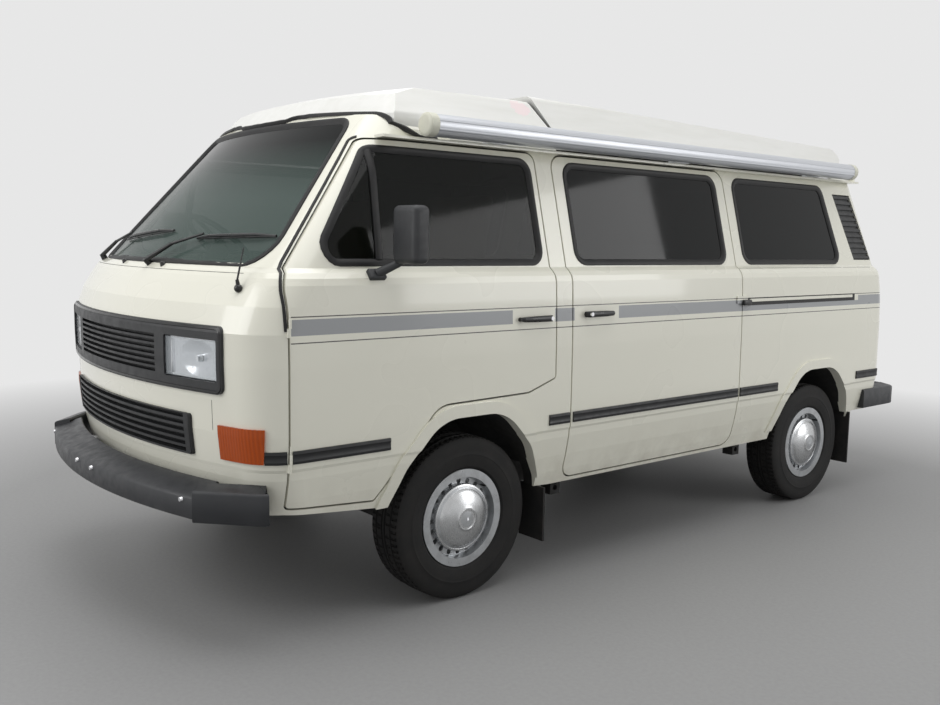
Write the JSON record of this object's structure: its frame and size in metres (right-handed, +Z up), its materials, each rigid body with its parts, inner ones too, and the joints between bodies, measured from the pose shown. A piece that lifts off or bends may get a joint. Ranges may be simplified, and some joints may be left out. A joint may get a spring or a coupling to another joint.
{
  "type": "camper van",
  "caption": "Forward-control camper van with opening doors, tailgate and pop-top lid, a side awning, coupled steering and rolling wheels.",
  "frame": {"origin": "on the ground, on the centre plane, halfway between the bumpers' outer faces", "axes": "+Z up, the nose faces -Y, the van's left side is +X"},
  "size_m": [2.17, 4.5696, 2.0239],
  "materials": {
    "paint": "ivory gloss paint, grey band along the flanks",
    "roof_plastic": "white moulded roof, slightly weathered",
    "clear_glass": "clear, faintly green",
    "dark_glass": "dark tinted",
    "black_plastic": "grained black plastic",
    "black_metal": "black enamel",
    "lamp_glass": "fluted clear lens",
    "amber": "amber lens",
    "red_lens": "red lens",
    "tyre": "worn black rubber",
    "silver_steel": "silver wheel paint",
    "aluminium": "anodised satin",
    "cloth": "tan woven seat cloth",
    "canvas": "proofed canvas",
    "furniture": "laminated board",
    "cast": "bare castings",
    "under_paint": "underseal"
  },
  "bodies": {
    "root": {"roof_frame": "paint", "rear_frame": "paint", "nose_panel": "paint", "floor_pan": "under_paint", "side_left": "paint", "side_right": "paint", "sliding_door": "paint", "side_windows": "dark_glass", "windscreen": "clear_glass", "roof_cap": "roof_plastic", "pop_top_canvas": "canvas", "awning": "aluminium", "front_bumper": "black_plastic", "rear_bumper": "black_plastic", "grilles": "black_plastic", "headlamps": "lamp_glass", "indicators": "amber", "tail_lamps": "red_lens", "air_intakes": "black_plastic", "wipers": "black_metal", "mud_flaps": "black_plastic", "cab_seats": "cloth", "dashboard": "black_plastic", "rear_bench": "cloth", "galley": "furniture", "front_suspension": "under_paint", "rear_suspension": "under_paint", "engine": "cast", "fuel_tank": "under_paint", "jack_sockets": "under_paint", "tow_eyes": "under_paint", "cab_floor": "under_paint", "engine_deck": "under_paint", "wheel_houses": "under_paint"},
    "cab_door_left": {"cab_door_left": "paint", "cab_glass_left": "clear_glass", "mirror_left": "black_plastic"},
    "cab_door_right": {"cab_door_right": "paint", "cab_glass_right": "clear_glass", "mirror_right": "black_plastic"},
    "tailgate": {"tailgate": "paint", "tailgate_glass": "dark_glass"},
    "pop_top": {"pop_top_lid": "roof_plastic"},
    "steering_wheel": {"steering_wheel": "black_plastic"},
    "knuckle_left": {"knuckle_left": "cast"},
    "knuckle_right": {"knuckle_right": "cast"},
    "wheel_front_left": {"tyre_front_left": "tyre", "wheel_front_left": "silver_steel"},
    "wheel_front_right": {"tyre_front_right": "tyre", "wheel_front_right": "silver_steel"},
    "wheel_rear_left": {"tyre_rear_left": "tyre", "wheel_rear_left": "silver_steel"},
    "wheel_rear_right": {"tyre_rear_right": "tyre", "wheel_rear_right": "silver_steel"}
  },
  "joints": [
    {"name": "door_left_hinge", "type": "hinge", "parent": "root", "child": "cab_door_left", "pos_m": [0.928, -1.9105, 0.9], "axis": [0, 0, -1], "range_deg": [0, 65]},
    {"name": "door_right_hinge", "type": "hinge", "parent": "root", "child": "cab_door_right", "pos_m": [-0.928, -1.9105, 0.9], "axis": [0, 0, 1], "range_deg": [0, 65]},
    {"name": "tailgate_hinge", "type": "hinge", "parent": "root", "child": "tailgate", "pos_m": [0, 1.93569, 1.7655], "axis": [1, 0, 0], "range_deg": [0, 85]},
    {"name": "pop_top_hinge", "type": "hinge", "parent": "root", "child": "pop_top", "pos_m": [0, 1.864, 1.797], "axis": [-1, 0, 0], "range_deg": [0, 20]},
    {"name": "steer_left", "type": "hinge", "parent": "root", "child": "knuckle_left", "pos_m": [0.723, -1.117, 0.325], "axis": [0, 0, 1], "range_deg": [-32, 32]},
    {"name": "steer_right", "type": "hinge", "parent": "root", "child": "knuckle_right", "pos_m": [-0.723, -1.117, 0.325], "axis": [0, 0, 1], "range_deg": [-32, 32]},
    {"name": "spin_front_left", "type": "hinge", "parent": "knuckle_left", "child": "wheel_front_left", "pos_m": [0.785, -1.117, 0.325], "axis": [1, 0, 0], "continuous": true},
    {"name": "spin_rear_left", "type": "hinge", "parent": "root", "child": "wheel_rear_left", "pos_m": [0.785, 1.343, 0.325], "axis": [1, 0, 0], "continuous": true},
    {"name": "spin_front_right", "type": "hinge", "parent": "knuckle_right", "child": "wheel_front_right", "pos_m": [-0.785, -1.117, 0.325], "axis": [1, 0, 0], "continuous": true},
    {"name": "spin_rear_right", "type": "hinge", "parent": "root", "child": "wheel_rear_right", "pos_m": [-0.785, 1.343, 0.325], "axis": [1, 0, 0], "continuous": true},
    {"name": "steering_wheel_turn", "type": "hinge", "parent": "root", "child": "steering_wheel", "pos_m": [-0.40744, -1.512, 1.363], "axis": [0, 0.6912, 0.7227], "range_deg": [-520, 520]}
  ],
  "couplings": [
    {"joint": "steer_right", "follows": "steer_left", "ratio": 1},
    {"joint": "steering_wheel_turn", "follows": "steer_left", "ratio": 16}
  ]
}
